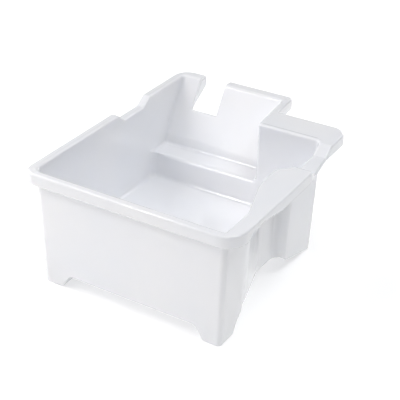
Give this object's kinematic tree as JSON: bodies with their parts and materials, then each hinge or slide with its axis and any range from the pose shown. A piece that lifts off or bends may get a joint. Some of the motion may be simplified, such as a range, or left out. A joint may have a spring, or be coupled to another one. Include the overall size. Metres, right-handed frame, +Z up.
{
  "type": "developing tray",
  "caption": "Deep white moulded darkroom tray on feet, with a turned-down rim, side notches, a finger grip recess, a stepped sloping back with a slot, and a flat rear shelf.",
  "frame": {"origin": "centre of the bounding box on the plane the feet stand on", "axes": "+Z up, +Y from the front rim towards the sloping rear wall, +X towards the side with the grip recess"},
  "size_m": [0.24, 0.294, 0.1295],
  "materials": {
    "white_polypropylene": "satin-gloss white moulded polypropylene"
  },
  "bodies": {
    "root": {"centre_side_wall": "white_polypropylene", "corner_front_left": "white_polypropylene", "corner_front_right": "white_polypropylene", "corner_rear_left": "white_polypropylene", "corner_rear_right": "white_polypropylene", "floor_pan": "white_polypropylene", "foot_front_left": "white_polypropylene", "foot_front_right": "white_polypropylene", "foot_rear_left": "white_polypropylene", "foot_rear_right": "white_polypropylene", "front_skirt": "white_polypropylene", "front_wall": "white_polypropylene", "grip_flange": "white_polypropylene", "grip_lip": "white_polypropylene", "grip_recess_back_wall": "white_polypropylene", "grip_recess_front_wall": "white_polypropylene", "grip_recess_rear_wall": "white_polypropylene", "left_skirt": "white_polypropylene", "left_wall_front": "white_polypropylene", "left_wall_notch": "white_polypropylene", "left_wall_rear": "white_polypropylene", "lower_rear_wall": "white_polypropylene", "rear_ledge": "white_polypropylene", "rear_shelf": "white_polypropylene", "rear_skirt": "white_polypropylene", "right_front_column": "white_polypropylene", "right_front_skirt": "white_polypropylene", "right_rear_skirt": "white_polypropylene", "right_rear_wall": "white_polypropylene", "rim_centre_side": "white_polypropylene", "rim_corner_front_left": "white_polypropylene", "rim_corner_front_right": "white_polypropylene", "rim_ear": "white_polypropylene", "rim_front": "white_polypropylene", "rim_left_front": "white_polypropylene", "rim_left_notch": "white_polypropylene", "rim_left_rear": "white_polypropylene", "rim_rear_centre": "white_polypropylene", "rim_right_front": "white_polypropylene", "rim_right_notch": "white_polypropylene", "shelf_front_wall": "white_polypropylene", "shelf_lip": "white_polypropylene", "slot_gusset_left": "white_polypropylene", "slot_gusset_right": "white_polypropylene", "slot_sill": "white_polypropylene", "upper_rear_wall_centre": "white_polypropylene", "upper_rear_wall_ear": "white_polypropylene"}
  },
  "joints": []
}
